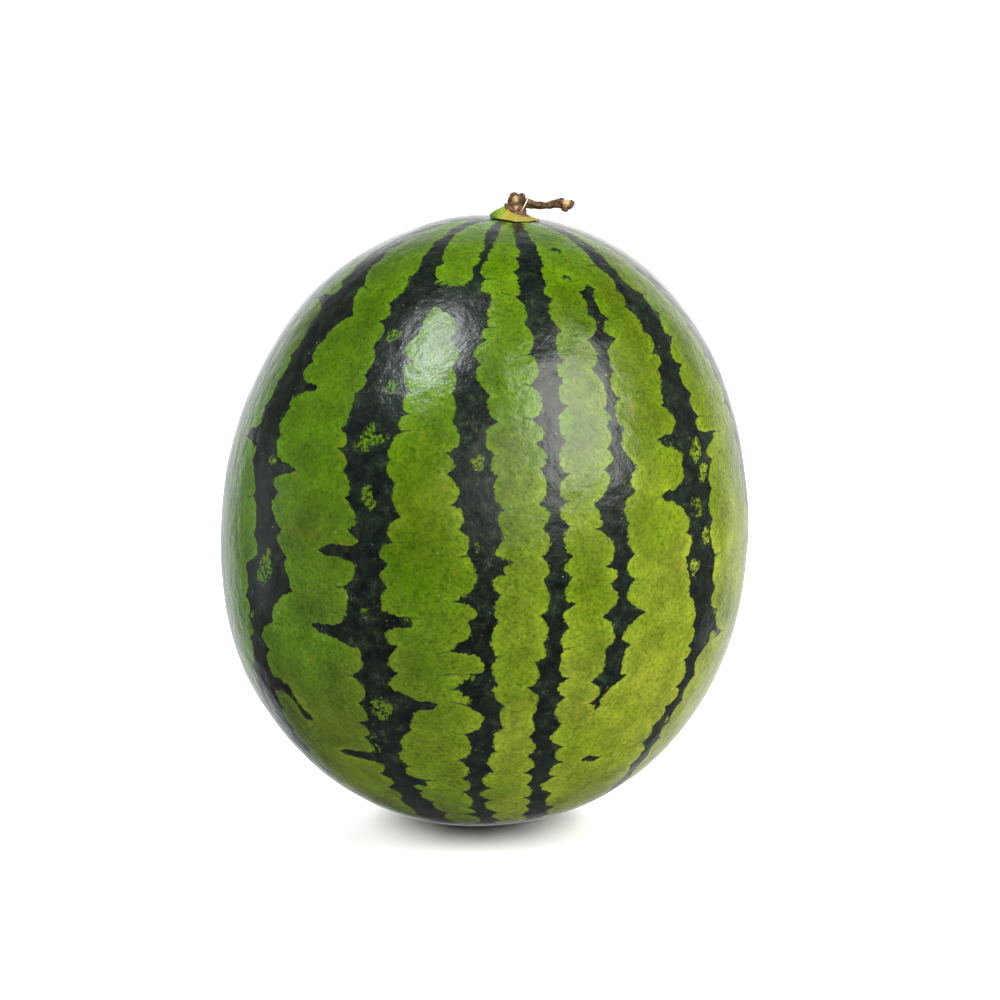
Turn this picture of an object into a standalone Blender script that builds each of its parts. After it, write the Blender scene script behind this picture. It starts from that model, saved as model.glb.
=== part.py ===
"""A whole watermelon standing on its blossom end, with its dried, bent stem.

Metres, +Z up. The origin is on the floor, below the middle of the fruit's outline.
The core line leans a little towards +X, and the stem bends over to +X too.
"""

import math

import bmesh
import bpy
from mathutils import Matrix, Vector

# Fruit: two half superellipses that meet at the girth, turned about the core line.
GIRTH_RADIUS = 0.120
STEM_HALF = 0.149
BLOSSOM_HALF = 0.130
STEM_FULLNESS = 2.12  # superellipse exponent, 2 is a plain ellipse
BLOSSOM_FULLNESS = 2.06
STEM_PULL = 0.003  # how far the stem end is drawn sideways off the core line
LEAN = math.radians(4.2)  # core line from the vertical, towards +X
REST_DEPTH = 0.0013  # height of the cap that the resting spot takes off
FRUIT_SEGMENTS = 64
FRUIT_RINGS = 40

# Stem: a flared pad on the rind, an upright knuckle and an arm that bends over.
CONTACT_GAP = 0.0003  # between the rind and the pad's underside
PAD_RADIUS = 0.0107
PAD_RIM = 0.0007
COLLAR_RADIUS = 0.0046
COLLAR_HEIGHT = 0.0031
KNUCKLE_RADIUS = 0.0039
KNUCKLE_HEIGHT = 0.0116
KNUCKLE_LEAN = 0.0020  # sideways travel of the knuckle from pad to tip
STEM_SEGMENTS = 24
ARM_SEGMENTS = 14
# Each station of the arm: x, y and z from the middle of the pad, and its radius.
ARM_STATIONS = (
    (0.0010, 0.0000, 0.0058, 0.0021),
    (0.0050, -0.0002, 0.0070, 0.0020),
    (0.0085, -0.0005, 0.0066, 0.0016),
    (0.0125, -0.0008, 0.0064, 0.0014),
    (0.0160, -0.0012, 0.0071, 0.0015),
    (0.0192, -0.0014, 0.0081, 0.0019),
    (0.0216, -0.0016, 0.0081, 0.0025),
    (0.0240, -0.0017, 0.0087, 0.0026),
)
CUT_END_RADIUS = 0.0020
CUT_END_REACH = 0.0012

RIND_GREEN = (0.13, 0.22, 0.035, 1.0)
DRIED_BROWN = (0.26, 0.15, 0.07, 1.0)


def clear_scene():
    for obj in list(bpy.data.objects):
        bpy.data.objects.remove(obj, do_unlink=True)


def make_material(name, colour, roughness):
    material = bpy.data.materials.new(name)
    material.use_nodes = True
    shader = material.node_tree.nodes["Principled BSDF"]
    shader.inputs["Base Color"].default_value = colour
    shader.inputs["Roughness"].default_value = roughness
    shader.inputs["Metallic"].default_value = 0.0
    material.diffuse_color = colour
    return material


def make_object(name, mesh_work, material=None):
    """Turn a bmesh into a smooth-shaded object in the scene."""
    mesh = bpy.data.meshes.new(name)
    mesh_work.to_mesh(mesh)
    mesh_work.free()
    mesh.shade_smooth()
    mesh.set_sharp_from_angle(angle=math.radians(50))
    if material:
        mesh.materials.append(material)
    obj = bpy.data.objects.new(name, mesh)
    bpy.context.scene.collection.objects.link(obj)
    return obj


def turn_profile(profile, segments):
    """Spin (radius, height) points about Z. The first and last points lie on the axis."""
    turned = bmesh.new()
    points = [turned.verts.new((radius, 0.0, height)) for radius, height in profile]
    edges = [turned.edges.new(pair) for pair in zip(points, points[1:])]
    bmesh.ops.spin(
        turned,
        geom=points + edges,
        axis=(0.0, 0.0, 1.0),
        cent=(0.0, 0.0, 0.0),
        steps=segments,
        angle=math.tau,
        use_merge=True,
    )
    bmesh.ops.remove_doubles(turned, verts=turned.verts[:], dist=1e-6)
    bmesh.ops.recalc_face_normals(turned, faces=turned.faces[:])
    return turned


def rind_point(latitude):
    """(radius, height) of the rind at a latitude from -90 to 90 degrees about the girth."""
    upper = latitude > 0.0
    half, fullness = (STEM_HALF, STEM_FULLNESS) if upper else (BLOSSOM_HALF, BLOSSOM_FULLNESS)
    radius = GIRTH_RADIUS * abs(math.cos(latitude)) ** (2.0 / fullness)
    height = half * abs(math.sin(latitude)) ** (2.0 / fullness)
    return radius, math.copysign(height, latitude)


def rind_height(radius):
    """Height of the rind above the girth, near the stem end, at a distance from the core line."""
    return STEM_HALF * (1.0 - (radius / GIRTH_RADIUS) ** STEM_FULLNESS) ** (1.0 / STEM_FULLNESS)


def rind_profile():
    step = math.pi / FRUIT_RINGS
    inner = [rind_point(-math.pi / 2.0 + step * ring) for ring in range(1, FRUIT_RINGS)]
    return [(0.0, -BLOSSOM_HALF), *inner, (0.0, STEM_HALF)]


def draw_stem_end_aside(fruit):
    """Move the upper half sideways, none at the girth and most at the stem end."""
    for vert in fruit.verts:
        share = max(vert.co.z, 0.0) / STEM_HALF
        vert.co.x += STEM_PULL * share**3


def flatten_resting_spot(fruit):
    """Cut the lowest cap off the leaning fruit and close it with one flat face."""
    down = Matrix.Rotation(-LEAN, 3, "Y") @ Vector((0.0, 0.0, -1.0))
    lowest = max(fruit.verts, key=lambda vert: vert.co.dot(down))
    cut = bmesh.ops.bisect_plane(
        fruit,
        geom=fruit.verts[:] + fruit.edges[:] + fruit.faces[:],
        plane_co=lowest.co - down * REST_DEPTH,
        plane_no=down,
        clear_outer=True,
    )
    rim = [item for item in cut["geom_cut"] if isinstance(item, bmesh.types.BMEdge)]
    bmesh.ops.holes_fill(fruit, edges=rim)
    bmesh.ops.recalc_face_normals(fruit, faces=fruit.faces[:])


def build_fruit(core):
    fruit = turn_profile(rind_profile(), FRUIT_SEGMENTS)
    draw_stem_end_aside(fruit)
    flatten_resting_spot(fruit)
    obj = make_object("fruit", fruit, make_material("waxy_rind", RIND_GREEN, 0.32))
    obj.parent = core
    return obj


def pad_underside():
    """Points from the axis out to the pad's edge, one contact gap above the rind."""
    rings = 4
    radii = [PAD_RADIUS * ring / rings for ring in range(rings + 1)]
    return [(radius, rind_height(radius) - STEM_HALF) for radius in radii]


def pad_and_knuckle_profile():
    edge = pad_underside()[-1][1] + PAD_RIM
    flare = [
        (PAD_RADIUS, edge),
        (0.78 * PAD_RADIUS, edge + 0.0007),
        (0.56 * PAD_RADIUS, edge + 0.0017),
        (COLLAR_RADIUS, COLLAR_HEIGHT),
    ]
    knuckle = [
        (KNUCKLE_RADIUS, 0.45 * KNUCKLE_HEIGHT),
        (KNUCKLE_RADIUS, 0.72 * KNUCKLE_HEIGHT),
        (0.82 * KNUCKLE_RADIUS, 0.90 * KNUCKLE_HEIGHT),
        (0.45 * KNUCKLE_RADIUS, 0.98 * KNUCKLE_HEIGHT),
        (0.0, KNUCKLE_HEIGHT),
    ]
    return pad_underside() + flare + knuckle


def build_knuckle(material):
    knuckle = turn_profile(pad_and_knuckle_profile(), STEM_SEGMENTS)
    for vert in knuckle.verts:
        vert.co.x += KNUCKLE_LEAN * max(vert.co.z, 0.0) / KNUCKLE_HEIGHT
    return make_object("stem", knuckle, material)


def arm_rings():
    """(centre, direction, radius) for each ring of the arm, with the cut end last."""
    centres = [Vector(station[:3]) for station in ARM_STATIONS]
    radii = [station[3] for station in ARM_STATIONS]
    last_run = (centres[-1] - centres[-2]).normalized()
    centres.append(centres[-1] + last_run * CUT_END_REACH)
    radii.append(CUT_END_RADIUS)
    before = [centres[0], *centres[:-1]]
    after = [*centres[1:], centres[-1]]
    runs = [(far - near).normalized() for near, far in zip(before, after)]
    return list(zip(centres, runs, radii))


def build_arm():
    """Loft circles along the arm, closed at both ends."""
    arm = bmesh.new()
    rings = arm_rings()
    loops = []
    for centre, run, radius in rings:
        place = Matrix.Translation(centre) @ run.to_track_quat("Z", "Y").to_matrix().to_4x4()
        circle = bmesh.ops.create_circle(arm, segments=ARM_SEGMENTS, radius=radius, matrix=place)
        loops.append(circle["verts"])
    for near, far in zip(loops, loops[1:]):
        for index in range(ARM_SEGMENTS):
            beside = (index + 1) % ARM_SEGMENTS
            arm.faces.new((near[index], near[beside], far[beside], far[index]))
    arm.faces.new(loops[0])
    arm.faces.new(loops[-1])
    bmesh.ops.recalc_face_normals(arm, faces=arm.faces[:])
    obj = make_object("stem_arm_tool", arm)
    obj.hide_render = True
    obj.display_type = "WIRE"
    return obj


def build_stem(core):
    stem = build_knuckle(make_material("dried_stalk", DRIED_BROWN, 0.8))
    arm = build_arm()
    for obj in (stem, arm):
        obj.parent = core
        obj.location = (STEM_PULL, 0.0, STEM_HALF + CONTACT_GAP)
    join = stem.modifiers.new("join_arm", "BOOLEAN")
    join.operation = "UNION"
    join.object = arm
    return stem


def stand_on_floor(core, fruit):
    """Move the core so that the fruit rests at Z = 0 with its outline centred on the origin."""
    bpy.context.view_layer.update()
    corners = [fruit.matrix_world @ vert.co for vert in fruit.data.vertices]
    lowest = Vector([min(point[axis] for point in corners) for axis in range(3)])
    highest = Vector([max(point[axis] for point in corners) for axis in range(3)])
    core.location = (
        -(lowest.x + highest.x) / 2.0,
        -(lowest.y + highest.y) / 2.0,
        -lowest.z,
    )
    bpy.context.view_layer.update()


def main():
    clear_scene()
    core = bpy.data.objects.new("core_line", None)
    bpy.context.scene.collection.objects.link(core)
    core.rotation_euler = (0.0, LEAN, 0.0)
    fruit = build_fruit(core)
    build_stem(core)
    stand_on_floor(core, fruit)


main()
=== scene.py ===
"""Looks of a whole watermelon that stands on its blossom end, with its dried, bent stem."""

import math

import bpy
import numpy as np
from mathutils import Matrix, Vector, noise


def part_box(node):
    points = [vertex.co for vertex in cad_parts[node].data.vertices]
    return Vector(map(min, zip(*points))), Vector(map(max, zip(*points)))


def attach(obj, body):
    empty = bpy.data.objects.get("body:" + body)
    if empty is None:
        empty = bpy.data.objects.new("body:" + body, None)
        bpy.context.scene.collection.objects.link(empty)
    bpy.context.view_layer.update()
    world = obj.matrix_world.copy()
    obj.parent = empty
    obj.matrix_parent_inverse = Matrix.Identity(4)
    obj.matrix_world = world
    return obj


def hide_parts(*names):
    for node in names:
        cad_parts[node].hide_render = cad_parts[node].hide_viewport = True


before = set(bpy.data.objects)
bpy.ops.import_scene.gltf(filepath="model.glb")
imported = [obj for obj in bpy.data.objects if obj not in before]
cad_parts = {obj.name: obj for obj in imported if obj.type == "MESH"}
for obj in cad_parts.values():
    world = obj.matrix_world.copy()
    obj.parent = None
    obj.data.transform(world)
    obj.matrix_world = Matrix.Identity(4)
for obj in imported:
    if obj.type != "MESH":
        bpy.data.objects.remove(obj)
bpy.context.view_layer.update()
MM = 0.001

# The fruit's own rule, as the CAD has it: two half superellipses about a leaning core line.
GIRTH_RADIUS = 0.120
STEM_HALF = 0.149
BLOSSOM_HALF = 0.130
STEM_FULLNESS = 2.12
BLOSSOM_FULLNESS = 2.06
STEM_PULL = 0.003  # sideways pull of the stem end, most at its tip
LEAN = math.radians(4.2)  # core line from the vertical, towards +X
REST_DEPTH = 0.0013  # height of the cap that the resting spot takes off
CONTACT_GAP = 0.0003  # between the rind and the stem's pad

CUBE_CELLS = 124  # faces along each edge of the cube that is blown up into the rind
LATITUDE_STEPS = 1441  # points of the outline, for its extent and its length
SOFT = {"interpolation_type": "SMOOTHSTEP"}  # for a Map Range that eases in and out
FALL = {"To Min": 1.0, "To Max": 0.0}  # for a Map Range that falls from 1 to 0


def linear(code):
    """sRGB hex colour to linear RGBA."""
    parts = [int(code[i : i + 2], 16) / 255.0 for i in (1, 3, 5)]
    return (*[p / 12.92 if p <= 0.04045 else ((p + 0.055) / 1.055) ** 2.4 for p in parts], 1.0)


def add(tree, kind, feeds=(), stops=(), **settings):
    """Add a node: its settings, then each shown input by name or place, linked or set.

    Kinds of shader node go without their prefix, and a hex colour is turned to linear.
    """
    whole = kind.startswith(("GeometryNode", "FunctionNode", "NodeGroup"))
    node = tree.nodes.new(kind if whole else f"ShaderNode{kind}")
    for name, value in settings.items():
        setattr(node, name, value)
    if stops:
        ramp = node.color_ramp
        while len(ramp.elements) < len(stops):
            ramp.elements.new(0.5)
        for element, (place, colour) in zip(ramp.elements, stops):
            element.position = place
            element.color = linear(colour) if isinstance(colour, str) else colour
    shown = [socket for socket in node.inputs if socket.enabled]
    for key, value in feeds.items() if isinstance(feeds, dict) else enumerate(feeds):
        socket = shown[key] if isinstance(key, int) else next(s for s in shown if s.name == key)
        if isinstance(value, bpy.types.Node):
            value = next(out for out in value.outputs if out.enabled)
        if isinstance(value, bpy.types.NodeSocket):
            tree.links.new(value, socket)
        elif isinstance(value, str) and value.startswith("#"):
            socket.default_value = linear(value)
        else:
            socket.default_value = value
    return node


def new_material(name):
    """An empty node material, with its tree and the object's own coordinates in mm."""
    material = bpy.data.materials.new(name)
    material.use_nodes = True
    tree = material.node_tree
    tree.nodes.clear()
    here = add(tree, "TexCoord").outputs["Object"]
    mm = add(tree, "Mapping", {"Vector": here, "Scale": (1.0 / MM, 1.0 / MM, 1.0 / MM)})
    return material, tree, mm


def new_tree(name, inputs):
    """A Geometry Nodes tree with a geometry in and out and these named inputs."""
    tree = bpy.data.node_groups.new(name, "GeometryNodeTree")
    tree.interface.new_socket("Geometry", in_out="INPUT", socket_type="NodeSocketGeometry")
    tree.interface.new_socket("Geometry", in_out="OUTPUT", socket_type="NodeSocketGeometry")
    for label, (kind, _) in inputs.items():
        tree.interface.new_socket(label, in_out="INPUT", socket_type=f"NodeSocket{kind}")
    return tree


def put(name, data):
    """A new object in the scene, at the origin."""
    thing = bpy.data.objects.new(name, data)
    bpy.context.scene.collection.objects.link(thing)
    return thing


def make_plain(piece):
    """Run the piece's modifiers once and keep only the mesh that they give."""
    depsgraph = bpy.context.evaluated_depsgraph_get()
    mesh = bpy.data.meshes.new_from_object(piece.evaluated_get(depsgraph), depsgraph=depsgraph)
    piece.modifiers.clear()
    piece.data = mesh
    mesh.name = piece.name
    return mesh


def grow(name, tree, inputs):
    """Run a Geometry Nodes tree once on an empty mesh."""
    piece = put(name, bpy.data.meshes.new(name))
    grower = piece.modifiers.new(tree.name, "NODES")
    grower.node_group = tree
    for item in tree.interface.items_tree:
        if item.in_out == "INPUT" and item.name in inputs:
            grower[item.identifier] = inputs[item.name][1]
    make_plain(piece)
    return piece


def read(items, field):
    """One vector for each vertex, or for each value of an attribute."""
    values = np.empty(len(items) * 3)
    items.foreach_get(field, values)
    return values.reshape(-1, 3)


def store(mesh, name, values):
    """Keep one number for each vertex."""
    layer = mesh.attributes.new(name, "FLOAT", "POINT")
    layer.data.foreach_set("value", values.astype(np.float32))


def ramp_between(low, high, values):
    """0 below low, 1 above high, smooth between."""
    share = np.clip((values - low) / (high - low), 0.0, 1.0)
    return share * share * (3.0 - 2.0 * share)


# ------------------------ outline and core line

def rind_radius(latitude):
    """Distance from the core line at a latitude in radians."""
    fullness = np.where(latitude > 0.0, STEM_FULLNESS, BLOSSOM_FULLNESS)
    return GIRTH_RADIUS * np.abs(np.cos(latitude)) ** (2.0 / fullness)


def rind_height(latitude):
    """Height above the girth, along the core line."""
    fullness = np.where(latitude > 0.0, STEM_FULLNESS, BLOSSOM_FULLNESS)
    half = np.where(latitude > 0.0, STEM_HALF, BLOSSOM_HALF)
    return np.sign(latitude) * half * np.abs(np.sin(latitude)) ** (2.0 / fullness)


def core_middle():
    """Where the middle of the girth stands, from the CAD fruit's box and the rule's own extent."""
    latitude = np.radians(np.linspace(-90.0, 90.0, LATITUDE_STEPS))
    radius = rind_radius(latitude)
    height = rind_height(latitude)
    aside = STEM_PULL * (np.maximum(height, 0.0) / STEM_HALF) ** 3
    edges = [
        (sign * radius + aside) * math.cos(LEAN) + height * math.sin(LEAN) for sign in (-1.0, 1.0)
    ]
    sink = height * math.cos(LEAN) - (radius + aside) * math.sin(LEAN)
    low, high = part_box("fruit")
    return Vector(
        (
            (low.x + high.x - edges[0].min() - edges[1].max()) / 2.0,
            (low.y + high.y) / 2.0,
            low.z - sink.min() - REST_DEPTH,
        )
    )


CORE = core_middle()


def stand(points):
    """Points in the core's own frame to the row frame."""
    x, y, z = points.T
    turned = [x * math.cos(LEAN) + z * math.sin(LEAN), y, z * math.cos(LEAN) - x * math.sin(LEAN)]
    return np.stack(turned, axis=1) + np.array(CORE)


# ------------------------ rind shape

def rind_tree(inputs):
    """A cube grid blown up to the fruit's rule, dimpled, leaned over and set on its spot."""
    tree = new_tree("grow_rind", inputs)
    given = add(tree, "NodeGroupInput").outputs
    corners = add(tree, "Math", [given["Cells"], 1.0], operation="ADD")
    counts = {f"Vertices {axis}": corners for axis in "XYZ"}
    cube = add(tree, "GeometryNodeMeshCube", {"Size": (2.0, 2.0, 2.0), **counts})

    # Even angles across each face, then out to a sphere of radius 1.
    place = add(tree, "GeometryNodeInputPosition")
    eighth_turn = add(tree, "VectorMath", {0: place, "Scale": math.pi / 4.0}, operation="SCALE")
    slope = add(tree, "VectorMath", [eighth_turn], operation="TANGENT")
    ball = add(tree, "VectorMath", [slope], operation="NORMALIZE")
    marked = add(
        tree, "GeometryNodeStoreNamedAttribute",
        {"Geometry": cube.outputs["Mesh"], "Name": "ball_place", "Value": ball},
        data_type="FLOAT_VECTOR",
    )

    # Latitude parts: sine up the core line, cosine out from it.
    flat = add(tree, "VectorMath", [ball, (1.0, 1.0, 0.0)], operation="MULTIPLY")
    outward = add(tree, "VectorMath", [flat], operation="NORMALIZE")
    cosine = add(tree, "VectorMath", [flat], operation="LENGTH").outputs["Value"]
    sine = add(tree, "SeparateXYZ", [ball]).outputs["Z"]
    upper = add(tree, "FunctionNodeCompare", {"A": sine, "B": 0.0}, operation="GREATER_THAN")
    half, fullness = [
        add(
            tree, "GeometryNodeSwitch",
            {"Switch": upper, "False": given[f"Blossom {part}"], "True": given[f"Stem {part}"]},
            input_type="FLOAT",
        )
        for part in ("Half", "Fullness")
    ]
    power = add(tree, "Math", [2.0, fullness], operation="DIVIDE")
    cosine_share = add(tree, "Math", [cosine, power], operation="POWER")
    radius = add(tree, "Math", [cosine_share, given["Girth Radius"]], operation="MULTIPLY")
    sine_size = add(tree, "Math", [sine], operation="ABSOLUTE")
    sine_share = add(tree, "Math", [sine_size, power], operation="POWER")
    rise = add(tree, "Math", [sine_share, half], operation="MULTIPLY")
    way = add(tree, "Math", [sine], operation="SIGN")
    height = add(tree, "Math", [rise, way], operation="MULTIPLY")

    # The stem end is drawn a little to the side.
    above = add(tree, "Math", [height, 0.0], operation="MAXIMUM")
    share = add(tree, "Math", [above, given["Stem Half"]], operation="DIVIDE")
    cubed = add(tree, "Math", [share, 3.0], operation="POWER")
    aside = add(tree, "Math", [cubed, given["Stem Pull"]], operation="MULTIPLY")
    ring = add(tree, "VectorMath", {0: outward, "Scale": radius}, operation="SCALE")
    offset = add(tree, "CombineXYZ", {"X": aside, "Z": height})
    smooth = add(tree, "VectorMath", [ring, offset], operation="ADD")

    # Broad swells of the flesh and shallow dimples of the peel, calm under the stem's pad.
    swell = None
    for width, depth in (("Swell Width", "Swell Height"), ("Dimple Width", "Dimple Depth")):
        spread = add(tree, "Math", [1.0, given[width]], operation="DIVIDE")
        waves = add(
            tree, "TexNoise", {"Vector": smooth, "W": given["Seed"], "Scale": spread, "Detail": 1.0},
            noise_dimensions="4D",
        )
        centred = add(tree, "Math", [waves, 0.5], operation="SUBTRACT")
        part = add(tree, "Math", [centred, given[depth]], operation="MULTIPLY")
        if swell:
            part = add(tree, "Math", [swell, part], operation="ADD")
        swell = part
    calm = add(tree, "MapRange", {"Value": cosine, "From Min": 0.08, "From Max": 0.3}, **SOFT)
    push = add(tree, "Math", [swell, calm], operation="MULTIPLY")
    outwards = add(tree, "VectorMath", {0: ball, "Scale": push}, operation="SCALE")
    shaped = add(tree, "VectorMath", [smooth, outwards], operation="ADD")

    # Lean over, stand on the floor, and go flat where it rests: nothing is lower than Z = 0.
    leaned = add(
        tree, "VectorRotate", {"Vector": shaped, "Angle": given["Lean"]}, rotation_type="Y_AXIS"
    )
    stood = add(tree, "VectorMath", [leaned, given["Core Middle"]], operation="ADD")
    rested = add(tree, "VectorMath", [stood, (-1.0, -1.0, 0.0)], operation="MAXIMUM")
    moved = add(tree, "GeometryNodeSetPosition", {"Geometry": marked, "Position": rested})
    rounded = add(tree, "GeometryNodeSetShadeSmooth", {"Geometry": moved})
    real = add(tree, "GeometryNodeRealizeInstances", {"Geometry": rounded})
    painted = add(
        tree, "GeometryNodeSetMaterial", {"Geometry": real, "Material": given["Rind Material"]}
    )
    add(tree, "NodeGroupOutput", [painted])
    return tree


# ------------------------ stripes

# Each stripe from the stem end down: latitude and longitude in degrees, half its width in mm.
# Longitude 0 faces -Y and grows towards +X.
LEFT_EDGE = ((78, -100, 3), (60, -88, 6), (40, -85, 8), (0, -84, 8), (-20, -80, 9),
             (-40, -83, 7), (-62, -84, 5), (-80, -80, 3))
STRIPE_A = ((76, -84, 3), (65, -76, 6.5), (58, -70, 7), (50, -63, 8.3), (45, -61, 12.6),
            (40, -62, 8.1), (30, -61, 8.6), (20, -62, 9.9), (15, -59, 11.6), (9, -57, 7.2),
            (0, -52, 10.4), (-3, -53, 17), (-9, -55, 11.4), (-16, -58, 4.8), (-25, -60, 9),
            (-35, -64, 11), (-46, -61, 7), (-62, -62, 5), (-78, -60, 3))
STRIPE_B = ((82, -62, 3), (72, -46, 2.4), (64, -38, 4.6), (58, -34, 5), (50, -31.5, 10.3),
            (40, -31.5, 7.3), (33, -29, 10), (27, -29.5, 13.5), (20, -29.5, 10.8),
            (12, -25.5, 10.8), (4, -24.9, 5.8), (-5, -25.5, 9.4), (-12, -22.5, 7.1),
            (-20, -22.8, 7.4), (-25, -19.5, 12.4), (-36, -23, 6.9), (-50, -20, 5.6),
            (-60, -16.8, 7.3), (-78, -8, 3.5))
STRIPE_C = ((82, -24, 2.2), (76, -17.5, 2.5), (70, -14, 1.6), (62, -14, 1.5), (56, -12.5, 3.5),
            (50, -11.5, 9), (45, -10, 5.3), (40, -9.8, 3.6), (30, -5.5, 8.2), (25, -5, 6.3),
            (20, -4.5, 8.9), (10, -1, 8.2), (3, 0, 4), (-3, 1, 4.2), (-9, 0, 5.6),
            (-15, 2.7, 1.8), (-19, 0.5, 6.8), (-25, 4.2, 4.4), (-35, 2, 5.3), (-50, 3, 2.8),
            (-60, 7.7, 4.6), (-78, 22, 3))
STRIPE_D = ((84, 6, 2), (70, 10, 4.5), (60, 8.5, 6), (48, 12, 5.8), (30, 13, 4.5),
            (15, 14, 3.4), (0, 16, 4.6), (-10, 16, 3.4), (-16, 16, 5.8), (-30, 17.5, 4.6),
            (-36, 20, 6), (-45, 21, 3.4), (-58, 30, 5.5), (-77, 48, 3.5))
STRIPE_E = ((64, 34, -3), (59, 33, 1.2), (56, 31, 3.3), (50, 31.8, 2.4), (45, 30.2, 4.1),
            (40, 28.5, 3.3), (34, 29, 1.8), (25, 29.5, 3), (20, 30.2, 6.4), (13, 27, 7.1),
            (9, 29.5, 5.1), (0, 31, 3.1), (-3, 31.7, 8.4), (-8, 30.8, 1.7), (-12, 31, 6.1),
            (-17, 30.5, 4.9), (-21, 29, 1.2), (-25, 29, -3))
STRIPE_F = ((83, 64, 2.5), (75, 57, 3.5), (66, 51.5, 4.9), (60, 51.8, 3.2), (53, 53, 8.7),
            (45, 53.5, 6.8), (40, 52.3, 5.3), (34, 50.5, 9.6), (28, 52.5, 8), (20, 54, 9.9),
            (15, 51, 12), (10, 53.3, 6.7), (3, 53.5, 10.2), (-4, 56, 7), (-8, 58.5, 9.5),
            (-15, 56.3, 4.6), (-21, 56.5, 3.1), (-30, 54, 4.8), (-40, 56, 3.5), (-54, 61, 3),
            (-76, 66, 2.4))
RIGHT_EDGE = ((82, 84, 2.5), (62, 82, 6), (40, 83, 8), (0, 85, 8), (-30, 84, 7), (-60, 86, 5),
              (-80, 84, 3))
FRONT_STRIPES = (STRIPE_A, STRIPE_B, STRIPE_C, STRIPE_D, STRIPE_E, STRIPE_F)
FRONT_MIDDLE = -3.5  # longitude halfway from stripe A to stripe F
BACK_SPREAD = 1.18  # the same stripes, mirrored, fill the wider gap round the back
BACK_STRAIGHT = 62.0  # above this latitude the stripes of the back run straight to the stem
STRIPE_FIELDS = ("stripe_margin", "lobe_wave", "lobe_reach", "island")  # kept on the rind's mesh

# Short dark marks off the stripes: latitude and longitude of the root and the tip, and half the
# width in mm at the root and the tip.
MARKS = (
    (54, -30, 53.5, -10, 5.2, 5.2),
    (47, -66.5, 47, -75, 5.5, 0.2),
    (29, -56, 29.5, -50, 4.5, 0.2),
    (18, -66, 18.5, -71, 4.5, 0.2),
    (14.5, -54, 15, -49.5, 4.6, 0.2),
    (-26.5, -57, -27, -50, 3.0, 1.6),
    (-27, -50, -32, -46, 1.6, 0.6),
    (-7, -20.5, -7, -15, 4.5, 0.2),
    (-10, -29, -10.5, -36.5, 5.0, 0.2),
    (-24, -17, -24, -10.5, 6.0, 0.2),
    (-40, -25.5, -40.5, -36, 3.2, 0.2),
    (-46.5, -17.5, -47, -13, 4.0, 0.2),
    (4, -28, 4, -35, 3.6, 0.2),
    (5, 2, 5.3, 6, 3.5, 0.2),
    (-1, -1, -1.3, -6, 4.5, 0.2),
    (-10, -2, -10, -4, 3.0, 0.2),
    (-19, -2, -19, -5, 3.0, 0.2),
    (71, 27.4, 70.8, 28.8, 1.5, 1.2),
    (62, 24.5, 61.8, 25.5, 1.1, 0.9),
    (-36, 33, -36.8, 34.5, 0.7, 0.4),
    (24, 49.5, 24.3, 43.5, 4.0, 0.2),
    (24, 57, 24, 62.5, 4.0, 0.2),
    (15.5, 46, 16, 43, 4.0, 0.2),
    (-8, 61, -10, 65.5, 4.5, 0.2),
)
MARK_CURVE = 1.9  # above 1 the sides of a mark are hollow, so its tip is a fine point

# Ragged light islands in the widest dark places: latitude and longitude, and radius in mm.
ISLANDS = (
    (23, -29, 9), (13, -27, 7), (15.5, -55.5, 5), (-3, -54, 10), (-6, -25, 5), (-26, -22, 9),
    (-33, -26, 5), (-37, -26, 5), (23, 54, 8), (18.5, 56, 8), (13, 52, 7), (3, 51, 6),
    (-29, 57, 5), (21, -3, 6), (43, -33, 5), (0, -53, 6), (-12, -60, 5), (-19, 31, 4),
    (8, 56, 7), (33, -27, 6),
)

ISLAND_CORE = 0.3  # share of an island's radius that is fully light
CUSPS = 90  # more than one side of a stripe has
CUSP_START = -60.0  # mm from the blossom end to where a side's first cusps are counted from
FAR = 1000.0  # mm, further than any stripe
LOBE_SEED = 11
LOBE_SPACING = (8.0, 17.0)  # mm along a stripe from cusp to cusp
LOBE_REACH = (1.8, 6.0)  # mm that a cusp stands out of the lobes beside it
LOBE_MEAN = 0.30  # average of the lobe curve, so that the lobes don't widen a stripe
LOBE_TILT = 0.35  # most that a cusp's line leans along the stripe
SMOOTH_TOP = (42.0, 74.0)  # latitudes where the lobes begin to fade and are faint
TOP_FADE = 0.8  # share of their reach that they lose there
FACE_FILL = 0.487  # how far a cube face reaches from the middle of its square on the map


def to_back(longitude):
    """Where a longitude of the front is repeated on the back."""
    return 180.0 - BACK_SPREAD * (longitude - FRONT_MIDDLE)


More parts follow.
